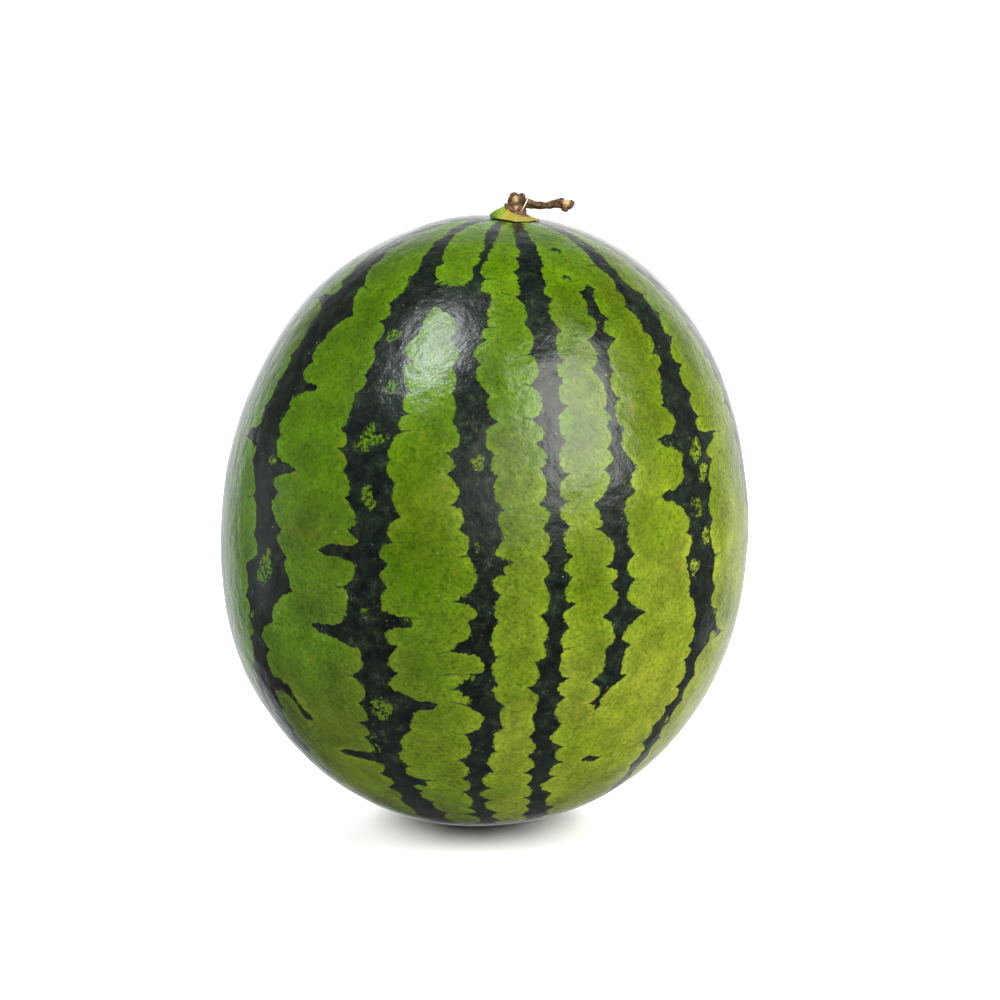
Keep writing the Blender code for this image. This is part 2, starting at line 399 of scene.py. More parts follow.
def stripe_sides(latitude, longitude):
    """For each point: mm from each stripe's line with half its width, mm to the nearest mark,
    island share, and mm along the outline from the blossom end.
    """
    steps = np.radians(np.linspace(-90.0, 90.0, LATITUDE_STEPS))
    runs = np.hypot(np.diff(rind_radius(steps)), np.diff(rind_height(steps)))
    arc_steps = np.concatenate(([0.0], np.cumsum(runs))) / MM
    radius = rind_radius(np.radians(latitude)) / MM

    def across(away):
        return radius * np.radians((away + 180.0) % 360.0 - 180.0)

    def arc_at(height):
        return np.interp(np.radians(height), steps, arc_steps)

    arc = arc_at(latitude)
    edges = []
    stripes = [(stripe, False) for stripe in (LEFT_EDGE, RIGHT_EDGE, *FRONT_STRIPES)]
    stripes += [(stripe, True) for stripe in FRONT_STRIPES]
    for stripe, behind in stripes:
        heights, ways, halves = np.array(stripe[::-1], float).T
        level = np.minimum(latitude, BACK_STRAIGHT) if behind else latitude
        line = np.interp(level, heights, ways)
        if behind:
            line = to_back(line)
        away = across(longitude - line)
        edges.append((away, np.interp(latitude, heights, halves)))

    marks = []
    for root_up, root_way, tip_up, tip_way, root_half, tip_half in MARKS:
        middle = math.radians((root_up + tip_up) / 2.0)
        for behind in (False, True):
            ways = np.array((root_way, tip_way), float)
            if behind:
                ways = to_back(ways)
            run_x = rind_radius(np.array(middle)) / MM * math.radians(ways[1] - ways[0])
            run_y = arc_at(tip_up) - arc_at(root_up)
            x = across(longitude - ways[0])
            y = arc - arc_at(root_up)
            share = np.clip((x * run_x + y * run_y) / (run_x**2 + run_y**2), 0.0, 1.0)
            half = tip_half + (root_half - tip_half) * (1.0 - share) ** MARK_CURVE
            marks.append(np.hypot(x - share * run_x, y - share * run_y) - half)

    island = np.zeros(len(latitude))
    for height, way, size in ISLANDS:
        for behind in (False, True):
            line = to_back(way) if behind else way
            away = np.hypot(across(longitude - line), arc - arc_at(height))
            island = np.maximum(island, 1.0 - ramp_between(ISLAND_CORE, 1.0, away / size))
    return edges, np.min(marks, axis=0), island, arc


def stripe_fields(latitude, longitude):
    """For each point: mm to the nearest stripe's edge, lobe wave, cusp reach and island share.

    The distance is below 0 inside a stripe. The wave is 0 at each cusp and 1 or -1 between.
    """
    edges, marks, island, arc = stripe_sides(latitude, longitude)
    chance = np.random.default_rng(LOBE_SEED)
    fade = 1.0 - TOP_FADE * ramp_between(*SMOOTH_TOP, latitude)
    margin = np.full(len(latitude), FAR)
    wave = np.ones(len(latitude))
    reach = np.zeros(len(latitude))
    for away, half in edges:
        for side in (-1.0, 1.0):
            cusps = CUSP_START + np.cumsum(chance.uniform(*LOBE_SPACING, CUSPS))
            reaches = chance.uniform(*LOBE_REACH, CUSPS)
            tilts = chance.uniform(-LOBE_TILT, LOBE_TILT, CUSPS)
            past = side * away - half
            along = arc + past * np.interp(arc, cusps, tilts)
            place = np.interp(along, cusps, np.arange(CUSPS))
            this = np.where(side * away > 0.0, past, FAR)
            nearer = this < margin
            margin = np.where(nearer, this, margin)
            wave = np.where(nearer, np.sin(math.pi * place), wave)
            reach = np.where(nearer, np.interp(along, cusps, reaches) * fade, reach)
    margin = np.minimum(margin + LOBE_MEAN * reach, marks)
    return margin, wave, reach, island


def mark_rind(mesh):
    """Give the rind its stripe fields and a flat map of its six cube faces."""
    ball = read(mesh.attributes["ball_place"].data, "vector")
    latitude = np.degrees(np.arcsin(np.clip(ball[:, 2], -1.0, 1.0)))
    longitude = np.degrees(np.arctan2(ball[:, 0], -ball[:, 1]))
    for name, values in zip(STRIPE_FIELDS, stripe_fields(latitude, longitude)):
        store(mesh, name, values)

    # Each cube face is one sixth of the map, three across and two up, with a thin margin.
    corner_points = np.empty(len(mesh.loops), int)
    mesh.loops.foreach_get("vertex_index", corner_points)
    corners = ball[corner_points].reshape(-1, 4, 3)
    middle = corners.mean(axis=1)
    axis = np.abs(middle).argmax(axis=1)
    sign = np.take_along_axis(middle, axis[:, None], 1)[:, 0] > 0.0
    rows = np.arange(len(corners))
    main = np.abs(corners[rows, :, axis])
    first = corners[rows, :, (axis + 1) % 3] / main
    second = corners[rows, :, (axis + 2) % 3] / main
    flat = np.arctan(np.stack((first, second), axis=2)) / (math.pi / 4.0)
    flat = 0.5 + flat * FACE_FILL
    flat[:, :, 0] = (flat[:, :, 0] + axis[:, None]) / 3.0
    flat[:, :, 1] = (flat[:, :, 1] + sign[:, None]) / 2.0
    layer = mesh.uv_layers.new(name="OFBake")
    layer.uv.foreach_set("vector", flat.astype(np.float32).ravel())
    mesh.attributes.remove(mesh.attributes["ball_place"])


# ------------------------ rind finish

# Noises of the rind: size in mm, detail and roughness.
RIND_NOISES = {
    "bend": (8.0, 2.0, 0.5),
    "fray": (0.8, 3.0, 0.7),
    "vein": (18.0, 2.0, 0.5),
    "ragged": (5.5, 4.0, 0.65),
    "fleck": (1.6, 2.0, 0.6),
    "drift": (42.0, 2.0, 0.5),
    "shade": (18.0, 6.0, 0.62),
    "ochre": (11.0, 3.0, 0.6),
    "slate": (6.0, 6.0, 0.8),
    "scuff": (9.0, 3.0, 0.5),
    "crackle": (1.6, 3.0, 0.6),
    "peel": (7.0, 1.0, 0.5),
}
# What some of them give: the noise, the span that it is read over, and the values at its ends.
RIND_SPANS = {
    "shade": ("shade", 0.34, 0.66, 0.68, 1.18),
    "ochre": ("ochre", 0.62, 0.8, 0.0, 0.5),
    "slate": ("slate", 0.36, 0.66, 0.0, 1.0),
    "dots": ("slate", 0.46, 0.6, 0.1, 0.75),
    "scuff": ("scuff", 0.58, 0.72, 0.0, 0.16),
    "polish": ("drift", 0.3, 0.7, 0.2, 0.29),
}


def waxy_rind():
    """Fresh watermelon rind, wiped clean: smooth living skin under its own thin wax.

    To the eye it is a satin green skin. Dark stripes have scalloped edges, sharp cusps and
    thin veins that fade into the light ground. The ground is mottled at about two
    millimetres, and the wax breaks each reflection into a fine crackle.
    """
    material, tree, mm = new_material("waxy_melon_rind")
    noises = {}
    for name, (across, detail, rough) in RIND_NOISES.items():
        noises[name] = add(
            tree, "TexNoise",
            {"Vector": mm, "Scale": 1.0 / across, "Detail": detail, "Roughness": rough},
        )
    spans = {}
    for name, (source, low, high, least, most) in RIND_SPANS.items():
        ends = {"From Min": low, "From Max": high, "To Min": least, "To Max": most}
        spans[name] = add(tree, "MapRange", {"Value": noises[source], **ends})
    margin, wave, reach, placed = [
        add(tree, "Attribute", attribute_name=name).outputs["Fac"] for name in STRIPE_FIELDS
    ]

    # Lobes: round between cusps, with each cusp's line bent a little.
    bend = add(tree, "Math", [noises["bend"], 0.5], operation="SUBTRACT")
    bent_wave = add(tree, "Math", [bend, wave], operation="ADD")
    size = add(tree, "Math", [bent_wave], operation="ABSOLUTE", use_clamp=True)
    turn = add(tree, "Math", [size], operation="ARCSINE")
    lobe = add(tree, "MapRange", {"Value": turn, "From Max": math.pi / 2.0, **FALL})
    lobe_curve = add(tree, "Math", [lobe, 2.3], operation="POWER")
    lobe_mm = add(tree, "Math", [lobe_curve, reach], operation="MULTIPLY")
    lobed = add(tree, "Math", [margin, lobe_mm], operation="SUBTRACT")

    # Second scale: small crenulations 4 mm long, and a frayed line below 1 mm.
    small_wall = add(
        tree, "TexVoronoi", {"Vector": mm, "Scale": 1.0 / 4.2}, feature="DISTANCE_TO_EDGE"
    )
    small = add(
        tree, "MapRange", {"Value": small_wall, "From Max": 0.2, "To Min": -0.7, "To Max": 0.25}
    )
    crenulated = add(tree, "Math", [lobed, small], operation="ADD")
    fray_mm = add(tree, "Math", [noises["fray"], 0.5], operation="SUBTRACT")
    edge = add(tree, "Math", [fray_mm, 1.4, crenulated], operation="MULTIPLY_ADD")
    dark = add(tree, "MapRange", {"Value": edge, "From Min": -0.4, "From Max": 0.6, **FALL}, **SOFT)

    # Veins: the lines of the cusps stay dark for a few millimetres into the light ground.
    vein = add(tree, "MapRange", {"Value": size, "From Min": 0.05, "From Max": 0.2, **FALL}, **SOFT)
    vein_reach = add(
        tree, "MapRange",
        {"Value": edge, "From Min": 1.0, "From Max": 9.0, "To Min": 0.75, "To Max": 0.0},
    )
    vein_here = add(
        tree, "MapRange", {"Value": noises["vein"], "From Min": 0.55, "From Max": 0.66}, **SOFT
    )
    vein_some = add(tree, "Math", [vein, vein_here], operation="MULTIPLY")
    vein_dark = add(tree, "Math", [vein_some, vein_reach], operation="MULTIPLY")

    # Islands: ragged light flecks inside the widest dark places.
    deep = add(tree, "MapRange", {"Value": edge, "From Min": -1.2, "From Max": -2.6}, **SOFT)
    ragged_place = add(tree, "Math", [placed, 0.32, noises["ragged"]], operation="MULTIPLY_ADD")
    island = add(tree, "MapRange", {"Value": ragged_place, "From Min": 0.66, "From Max": 0.76}, **SOFT)
    fleck = add(
        tree, "MapRange",
        {"Value": noises["fleck"], "From Min": 0.44, "From Max": 0.54, "To Min": 0.1}, **SOFT,
    )
    island_fleck = add(tree, "Math", [island, fleck], operation="MULTIPLY")
    island_light = add(tree, "Math", [island_fleck, deep], operation="MULTIPLY")

    # Light ground: yellower and lighter towards +X, -Y and down, partly the skin's own yellowing and
    # partly painted light; hue drifting over 42 mm, shades 18 mm wide, fine mottle.
    # Painted light: this gradient also lightens the ground towards +X, -Y and down.
    yellowing_and_painted_light = add(
        tree, "VectorMath", [mm, (1.0, -0.2, -0.6)], operation="DOT_PRODUCT"
    ).outputs["Value"]
    side_hue_and_painted_light = add(
        tree, "MapRange",
        {"Value": yellowing_and_painted_light, "From Min": -160.0, "From Max": 80.0, "To Min": 0.08, "To Max": 0.58},
    )
    hue = add(tree, "Math", [noises["drift"], 0.42, side_hue_and_painted_light], operation="MULTIPLY_ADD")
    # Painted light: the ramp's stops get lighter towards the high end, where the gradient points
    # towards +X, -Y and down.
    ground = add(
        tree, "ValToRGB", {"Fac": hue},
        stops=[(0.26, "#476904"), (0.42, "#455c05"), (0.58, "#566b06"), (0.76, "#727e16")],
    )
    mottle = add(
        tree, "TexNoise",
        {"Vector": mm, "Scale": 1.0 / 1.7, "Detail": 3.0, "Roughness": 0.7, "Distortion": 0.4},
    )
    mottle_share = add(tree, "MapRange", {"Value": mottle, "From Min": 0.34, "From Max": 0.66})
    mottle_tint = add(
        tree, "ValToRGB", {"Fac": mottle_share},
        stops=[(0.0, (0.5, 0.6, 0.5, 1.0)), (0.35, (0.88, 0.92, 0.85, 1.0)),
               (0.65, (1.08, 1.05, 1.1, 1.0)), (1.0, (1.45, 1.28, 1.8, 1.0))],
    )
    ground = add(
        tree, "Mix", {"Factor": 1.0, "A": ground, "B": mottle_tint},
        data_type="RGBA", blend_type="MULTIPLY",
    )
    rim = add(
        tree, "MapRange",
        {"Value": edge, "From Min": 0.5, "From Max": 6.0, "To Min": 1.16, "To Max": 0.94},
    )
    lit = add(tree, "Math", [spans["shade"], rim], operation="MULTIPLY")
    ground = add(tree, "VectorMath", {0: ground, "Scale": lit}, operation="SCALE")
    ground = add(
        tree, "Mix", {"Factor": spans["ochre"], "A": ground, "B": "#6f6a16"}, data_type="RGBA"
    )

    # Dark stripes: blue-black green with a slow drift and rare pale pin dots.
    stripe = add(
        tree, "ValToRGB", {"Fac": spans["slate"]},
        stops=[(0.1, "#060a08"), (0.45, "#0f1812"), (0.75, "#182317"), (1.0, "#2b3820")],
    )
    dots = add(tree, "TexVoronoi", {"Vector": mm, "Scale": 1.0 / 3.2})
    dot_size = add(
        tree, "MapRange",
        {"Value": dots.outputs["Distance"], "From Min": 0.07, "From Max": 0.14, **FALL},
    )
    dot_pick = add(tree, "SeparateColor", [dots.outputs["Color"]]).outputs[0]
    dot_some = add(tree, "Math", [dot_pick, 0.84], operation="GREATER_THAN")
    dot = add(tree, "Math", [dot_size, dot_some], operation="MULTIPLY")
    dot_soft = add(tree, "Math", [dot, spans["dots"]], operation="MULTIPLY")

    veined = add(tree, "Math", [dark, vein_dark], operation="MAXIMUM")
    cover = add(tree, "Math", [veined, island_light], operation="SUBTRACT", use_clamp=True)
    skin = add(tree, "Mix", {"Factor": cover, "A": ground, "B": stripe}, data_type="RGBA")
    skin = add(tree, "Mix", {"Factor": dot_soft, "A": skin, "B": "#8f9f60"}, data_type="RGBA")

    # Scuffs: faint hair-thin pale scratches, about 25 mm long, in a few places.
    scuff_way = add(tree, "Mapping", {"Vector": mm, "Rotation": (0.9, 0.7, 0.4), "Scale": (1, 1, 0.12)})
    scuff_noise = add(
        tree, "TexNoise", {"Vector": scuff_way, "Scale": 1.0 / 3.0, "Detail": 2.0, "Distortion": 0.6}
    )
    scuff_line = add(tree, "Math", [scuff_noise, 0.5], operation="SUBTRACT")
    scuff_near = add(tree, "Math", [scuff_line], operation="ABSOLUTE")
    scuff = add(tree, "MapRange", {"Value": scuff_near, "From Min": 0.002, "From Max": 0.012, **FALL})
    scuff_some = add(tree, "Math", [scuff, spans["scuff"]], operation="MULTIPLY")
    skin = add(tree, "Mix", {"Factor": scuff_some, "A": skin, "B": "#a3a87a"}, data_type="RGBA")

    # Wax: fine crackle of the peel and a slow change of polish.
    relief = add(
        tree, "Math", [noises["peel"], 2.5, noises["crackle"]], operation="MULTIPLY_ADD"
    )
    bump = add(tree, "Bump", {"Strength": 0.42, "Distance": 0.0004, "Height": relief})
    shader = add(
        tree, "BsdfPrincipled",
        {"Base Color": skin, "Roughness": spans["polish"], "IOR": 1.4, "Normal": bump},
    )
    add(tree, "OutputMaterial", {"Surface": shader})
    return material


def build_rind():
    inputs = {
        "Cells": ("Int", CUBE_CELLS),
        "Girth Radius": ("Float", GIRTH_RADIUS),
        "Stem Half": ("Float", STEM_HALF),
        "Blossom Half": ("Float", BLOSSOM_HALF),
        "Stem Fullness": ("Float", STEM_FULLNESS),
        "Blossom Fullness": ("Float", BLOSSOM_FULLNESS),
        "Stem Pull": ("Float", STEM_PULL),
        "Lean": ("Float", LEAN),
        "Core Middle": ("Vector", CORE),
        "Swell Width": ("Float", 0.060),
        "Swell Height": ("Float", 0.0030),
        "Dimple Width": ("Float", 0.008),
        "Dimple Depth": ("Float", 0.00030),
        "Seed": ("Float", 3.0),
        "Rind Material": ("Material", waxy_rind()),
    }
    piece = grow("melon_rind", rind_tree(inputs), inputs)
    mark_rind(piece.data)
    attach(piece, "root")
    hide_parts("fruit")
    return piece


# ------------------------ stem shape

# Millimetres from the middle of the pad, in the core's frame: x, y, z and radius.
KNUCKLE_LINE = ((0.2, 0.0, 0.6, 4.7), (0.4, 0.0, 3.0, 4.5), (0.6, 0.0, 5.2, 4.0),
                (0.8, 0.0, 7.2, 3.9), (1.0, 0.0, 8.6, 3.9), (1.4, 0.0, 9.7, 3.3),
                (1.7, 0.0, 10.2, 2.1))
ARM_LINE = ((1.2, 0.0, 6.2, 2.3), (5.0, -0.2, 7.0, 2.1), (8.5, -0.5, 6.6, 1.7),
            (12.5, -0.8, 6.4, 1.5), (16.0, -1.2, 7.1, 1.6), (19.2, -1.4, 8.1, 1.9),
            (21.6, -1.5, 8.3, 2.2))
KNOBS = ((21.0, -1.5, 8.7, 1.7), (25.0, -1.7, 8.4, 1.6), (22.6, -1.6, 6.4, 1.9),
         (24.2, -1.7, 7.2, 1.7), (23.2, -1.7, 8.0, 1.75), (-2.1, -1.2, 8.4, 1.4),
         (2.7, -0.8, 9.7, 1.7), (3.6, 1.6, 3.0, 1.8), (-2.6, -2.4, 4.6, 1.6))
RIDGES = {"ridges": 5, "depth": 0.09}  # furrows round the knuckle and the arm
COLLAR_MIDDLE = (0.4, 0.0, 3.3)
COLLAR_RADIUS = 4.7
COLLAR_SLOPE = -0.39  # the collar's height falls towards +X
COLLAR_STEPS = 72
COLLAR_SIDES = 12
PAD_REACH = 9.9
PAD_TIPS = ((0.0, 1.9, 13.0), (180.0, 1.0, 16.0))  # turn in degrees, extra mm, width in degrees
PAD_STEPS = 120
PAD_UNDER = (0.15, 0.45, 0.75, 0.93, 1.0)  # shares of the reach, out along the rind
PAD_OVER = (0.995, 0.97, 0.92, 0.85, 0.76, 0.66, 0.55, 0.44, 0.33, 0.2, 0.08)  # and back over
PAD_EDGE = 0.3  # mm thick at its edge
LINE_ROUNDS = 3  # times that a line's corners are cut
STEM_VOXEL = 0.00019  # metres
FIBRE_LINE = ((5.4, -3.0, 9.2, 0.22), (4.6, -4.1, 7.2, 0.26), (3.6, -4.9, 5.2, 0.2),
              (2.9, -4.7, 3.6, 0.1))


def rounded_line(stations):
    """Cut the corners of a line a few times."""
    line = np.array(stations, float)
    for _ in range(LINE_ROUNDS):
        near, far = line[:-1], line[1:]
        cut = np.stack((0.75 * near + 0.25 * far, 0.25 * near + 0.75 * far), axis=1)
        line = np.concatenate((line[:1], cut.reshape(-1, line.shape[1]), line[-1:]))
    return line


def loft(rings):
    """Closed shell through rings of equal length: walls and a fan at either end."""
    count = rings.shape[1]
    points = np.concatenate((rings.reshape(-1, 3), rings[:1].mean(1), rings[-1:].mean(1)))
    first = len(points) - 2
    faces = []
    for row in range(len(rings) - 1):
        for place in range(count):
            beside = (place + 1) % count
            low, high = row * count, (row + 1) * count
            faces.append((low + place, low + beside, high + beside, high + place))
    last = (len(rings) - 1) * count
    for place in range(count):
        beside = (place + 1) % count
        faces.append((beside, place, first))
        faces.append((last + place, last + beside, first + 1))
    return points, faces


def tube(stations, ridges=0, depth=0.0, twist=0.0, up=(0.0, 1.0, 0.0), segments=40):
    """Ridged tube along rounded stations of x, y, z and radius."""
    line = rounded_line(stations)
    runs = np.gradient(line[:, :3], axis=0)
    runs /= np.linalg.norm(runs, axis=1, keepdims=True)
    side = np.cross(np.array(up), runs)
    side /= np.linalg.norm(side, axis=1, keepdims=True)
    rise = np.cross(runs, side)
    turn = np.linspace(0.0, math.tau, segments, endpoint=False)
    wave = np.cos(ridges * turn) + 0.5 * np.cos((2 * ridges + 1) * turn + 1.3)
    rings = []
    for row, station in enumerate(line):
        angle = (turn + twist * row / len(line))[:, None]
        size = (station[3] * (1.0 + depth * wave))[:, None]
        rings.append(station[:3] + size * (np.cos(angle) * side[row] + np.sin(angle) * rise[row]))
    return loft(np.array(rings))


def ball(x, y, z, radius):
    """A ball as a short tube whose radius follows a half circle."""
    turns = np.radians((-80, -60, -40, -20, 0, 20, 40, 60, 80))
    return tube(
        [(x, y, z + radius * math.sin(turn), radius * math.cos(turn)) for turn in turns],
        segments=24,
    )


def collar():
    """Torn rim of old skin round the foot of the knuckle."""
    x, y, z = COLLAR_MIDDLE
    turn = np.linspace(0.0, math.tau, COLLAR_STEPS, endpoint=False)
    small = np.linspace(0.0, math.tau, COLLAR_SIDES, endpoint=False)
    tear = 0.75 + 0.28 * np.sin(5.0 * turn + 0.6) + 0.16 * np.sin(11.0 * turn)
    rings = []
    for angle, size in zip(turn, tear):
        far = COLLAR_RADIUS + 0.25 * math.sin(3.0 * angle)
        out = far + 0.55 * size * np.cos(small)
        height = z + COLLAR_SLOPE * far * math.cos(angle) + 0.85 * size * np.sin(small)
        rings.append(
            np.stack((x + out * math.cos(angle), y + out * math.sin(angle), height), axis=1)
        )
    faces = []
    for row in range(COLLAR_STEPS):
        low, high = row * COLLAR_SIDES, (row + 1) % COLLAR_STEPS * COLLAR_SIDES
        for place in range(COLLAR_SIDES):
            beside = (place + 1) % COLLAR_SIDES
            faces.append((low + place, high + place, high + beside, low + beside))
    return np.concatenate(rings), faces


def pad_under(radius):
    """Height in mm of the rind under the pad, from the pad's middle."""
    share = (radius * MM / GIRTH_RADIUS) ** STEM_FULLNESS
    return (STEM_HALF * (1.0 - share) ** (1.0 / STEM_FULLNESS) - STEM_HALF) / MM


def pad():
    """Fleshy foot: a full green shoulder on -X that thins out to a pointed tip on +X."""
    turn = np.linspace(0.0, math.tau, PAD_STEPS, endpoint=False)
    reach = PAD_REACH + 0.35 * np.sin(4.0 * turn + 0.5) + 0.25 * np.sin(7.0 * turn)
    for place, extra, width in PAD_TIPS:
        away = (np.degrees(turn) - place + 180.0) % 360.0 - 180.0
        reach = reach + extra * np.exp(-((away / width) ** 2))
    full = (1.0 - np.cos(turn)) / 2.0
    power = 1.4 - 0.9 * full
    tall = 3.0 + 3.0 * full
    ridge = 0.3 * np.cos(9.0 * turn + 1.0) + 0.15 * np.cos(17.0 * turn)
    rings = []
    for over, shares in ((False, PAD_UNDER), (True, PAD_OVER)):
        for share in shares:
            radius = share * reach
            bulge = ridge * 4.0 * share * (1.0 - share)
            rise = over * (PAD_EDGE + tall * (1.0 - share) ** power + bulge)
            height = pad_under(radius) + rise
            rings.append(np.stack((radius * np.cos(turn), radius * np.sin(turn), height), axis=1))
    return loft(np.array(rings))


def join_shells(name, shells):
    """One mesh, in metres, from shells of points in mm and faces."""
    points, faces = [], []
    for shell_points, shell_faces in shells:
        start = sum(len(part) for part in points)
        points.append(shell_points)
        faces.extend(tuple(start + corner for corner in face) for face in shell_faces)
    mesh = bpy.data.meshes.new(name)
    mesh.from_pydata((np.concatenate(points) * MM).tolist(), [], faces)
    return mesh


def finished(piece, modifiers):
    """Run modifiers, given as (kind, settings), and keep the plain mesh."""
    for kind, settings in modifiers:
        modifier = piece.modifiers.new(kind.lower(), kind)
        for name, value in settings.items():
            setattr(modifier, name, value)
    return make_plain(piece)


def near_to(points, middle, radius):
    """1 at the middle, falling to 0 at the radius."""
    return 1.0 - ramp_between(0.35 * radius, radius, np.linalg.norm(points - middle, axis=1))


# Middle in mm and radius of each cream scar.
CREAM_SPOTS = (((-0.2, -3.9, 8.9), 2.1), ((0.4, -4.2, 5.4), 1.5), ((22.9, -2.9, 9.0), 2.4),
               ((2.4, 3.8, 8.6), 1.7))
# Upright cracks: x and y, lowest and highest z, and width, in mm.
CRACKS = (((3.8, -3.0), (4.0, 10.6), 0.75), ((-3.3, 2.4), (5.0, 9.5), 0.4),
          ((1.2, 4.3), (4.0, 10.6), 0.35), ((1.9, -3.9), (6.6, 10.8), 0.28))


STALK_FIELDS = ("dry", "torn", "cream", "crack_and_furrow_shade", "stalk_x")  # kept on the stem's mesh
ARM_START = (4.5, 6.5)  # x in mm where the knuckle gives way to the arm
ARM_LOWEST = 2.5  # z in mm that keeps the pad's tip out of the arm
BARK_REACH = 6.5  # mm out from the collar's middle, past which all is pad
TORN_REACH = 6.2
TORN_WIDTH = 0.9
CRACK_DEPTH = 0.6


def age_stem(mesh):
    """Wrinkles, cracks, the tints that belong to each stretch of the stalk, and painted shade in its
    cracks and furrows.
    """
    points = read(mesh.vertices, "co") / MM
    normals = read(mesh.vertices, "normal")
    x, y, z = points.T
    collar_height = COLLAR_MIDDLE[2] + COLLAR_SLOPE * x
    out = np.hypot(x - COLLAR_MIDDLE[0], y)
    on_arm = ramp_between(*ARM_START, x)
    on_knuckle = ramp_between(-0.4, 0.5, z - collar_height) * (out < BARK_REACH)
    above = np.maximum(on_knuckle, on_arm * (z > ARM_LOWEST))
    near_tear = np.exp(-(((z - collar_height) / TORN_WIDTH) ** 2))
    skirt = near_tear * (out < TORN_REACH) * (1.0 - on_arm)

    # Wrinkles run along the knuckle and the arm, so their noise is stretched that way.
    wrinkle = np.empty(len(points))
    lump = np.empty(len(points))
    for index, (px, py, pz, arm) in enumerate(zip(x, y, z, on_arm)):
        stretched = (px * (1.6 - 1.3 * arm), py * 1.6, pz * (0.35 + 1.25 * arm))
        wrinkle[index] = noise.noise(Vector(stretched))
        lump[index] = noise.noise(Vector((px * 0.45 + 7.0, py * 0.45, pz * 0.45)))
    crack = np.zeros(len(points))
    for (crack_x, crack_y), (low, high), width in CRACKS:
        bend = 0.25 * np.sin(z * 1.7 + crack_x)
        away = np.hypot(x - crack_x - bend, y - crack_y)
        inside = ramp_between(low, low + 1.0, z) * (1.0 - ramp_between(high - 1.0, high, z))
        crack = np.maximum(crack, np.exp(-((away / width) ** 2)) * inside)
    push = above * (0.28 * wrinkle + 0.25 * lump) + (1.0 - above) * (0.06 * wrinkle + 0.1 * lump)
    edge = ramp_between(0.0, 1.0, z - pad_under(np.hypot(x, y)) - 0.1)
    push = push * edge - CRACK_DEPTH * crack
    moved = points + normals * push[:, None]
    mesh.vertices.foreach_set("co", (moved * MM).ravel())

    cream = np.zeros(len(points))
    for middle, radius in CREAM_SPOTS:
        cream = np.maximum(cream, near_to(points, middle, radius))
    # Painted shade: cracks and the furrows of the wrinkles, darkened to near black in the stalk's
    # colour.
    crack_and_furrow_shade = np.maximum(crack, 0.55 * ramp_between(0.15, 0.6, -wrinkle) * above)
    fields = (above, skirt, cream * (0.75 + 0.5 * wrinkle), crack_and_furrow_shade, x)
    for name, values in zip(STALK_FIELDS, fields):
        store(mesh, name, values)


def dried_stalk():
    """Melon stalk dried on the fruit: woody, fibrous and dull, still fleshy green at its foot.

    To the eye the foot is waxy olive green, the torn collar a dull pinkish brown, and the
    knuckle and arm are dark furrowed bark with tan ridges and a few cream scars. Cracks and
    furrows are painted near black as shade.
    """
    material, tree, mm = new_material("dried_melon_stalk")
    dry, torn, cream, crack_and_furrow_shade, stalk_x = [
        add(tree, "Attribute", attribute_name=name).outputs["Fac"] for name in STALK_FIELDS
    ]
    blotch = add(tree, "TexNoise", {"Vector": mm, "Scale": 1.0 / 1.8, "Detail": 4.0, "Roughness": 0.65})
    fibre = add(tree, "TexNoise", {"Vector": mm, "Scale": 1.0 / 0.45, "Detail": 3.0, "Roughness": 0.6})
    bark = add(
        tree, "ValToRGB", {"Fac": blotch},
        stops=[(0.3, "#170f08"), (0.45, "#3d2b19"), (0.58, "#64462a"), (0.72, "#946a3e")],
    )
    foot_place = add(tree, "MapRange", {"Value": stalk_x, "From Min": -9.5, "From Max": 5.0})
    foot_blur = add(tree, "Math", [blotch, 0.5, foot_place], operation="MULTIPLY_ADD")
    foot = add(
        tree, "ValToRGB", {"Fac": foot_blur},
        stops=[(0.22, "#557c0a"), (0.5, "#7c8b1a"), (0.75, "#8f801e"), (1.0, "#8c8236")],
    )
    body = add(tree, "Mix", {"Factor": dry, "A": foot, "B": bark}, data_type="RGBA")
    torn_some = add(tree, "Math", [torn, 0.85], operation="MULTIPLY")
    # The last tint is painted shade, near black in the cracks and furrows.
    for share, tint in ((torn_some, "#6f4836"), (cream, "#c0a066"), (crack_and_furrow_shade, "#1a1009")):
        body = add(tree, "Mix", {"Factor": share, "A": body, "B": tint}, data_type="RGBA")
    relief = add(tree, "Math", [blotch, 1.5, fibre], operation="MULTIPLY_ADD")
    bump = add(tree, "Bump", {"Strength": 0.6, "Distance": 0.00025, "Height": relief})
    dullness = add(tree, "MapRange", {"Value": dry, "To Min": 0.5, "To Max": 0.82})
    shader = add(
        tree, "BsdfPrincipled", {"Base Color": body, "Roughness": dullness, "IOR": 1.45, "Normal": bump}
    )
    add(tree, "OutputMaterial", {"Surface": shader})
    return material


def build_stem():
    shells = [
        pad(),
        collar(),
        tube(KNUCKLE_LINE, **RIDGES, twist=0.5, segments=60),
        tube(ARM_LINE, **RIDGES, twist=1.6, up=(0.0, 0.0, 1.0)),
        *[ball(*knob) for knob in KNOBS],
    ]
    piece = put("melon_stem", join_shells("melon_stem", shells))
    mesh = finished(
        piece,
        [
            ("REMESH", {"mode": "VOXEL", "voxel_size": STEM_VOXEL}),
            ("SMOOTH", {"factor": 0.5, "iterations": 3}),
        ],
    )
    age_stem(mesh)
    strand = tube(FIBRE_LINE, segments=10)
    fibre = put("melon_stem_fibre", join_shells("melon_stem_fibre", [strand]))
    foot = np.array(Vector((STEM_PULL, 0.0, STEM_HALF + CONTACT_GAP)))
    for part, material in ((piece, dried_stalk()), (fibre, split_fibre())):
        placed = stand(read(part.data.vertices, "co") + foot)
        part.data.vertices.foreach_set("co", placed.ravel())
        part.data.materials.clear()
        part.data.materials.append(material)
        part.data.shade_smooth()
        part.data.update()
        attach(part, "root")
        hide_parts("stem")
    return piece, fibre


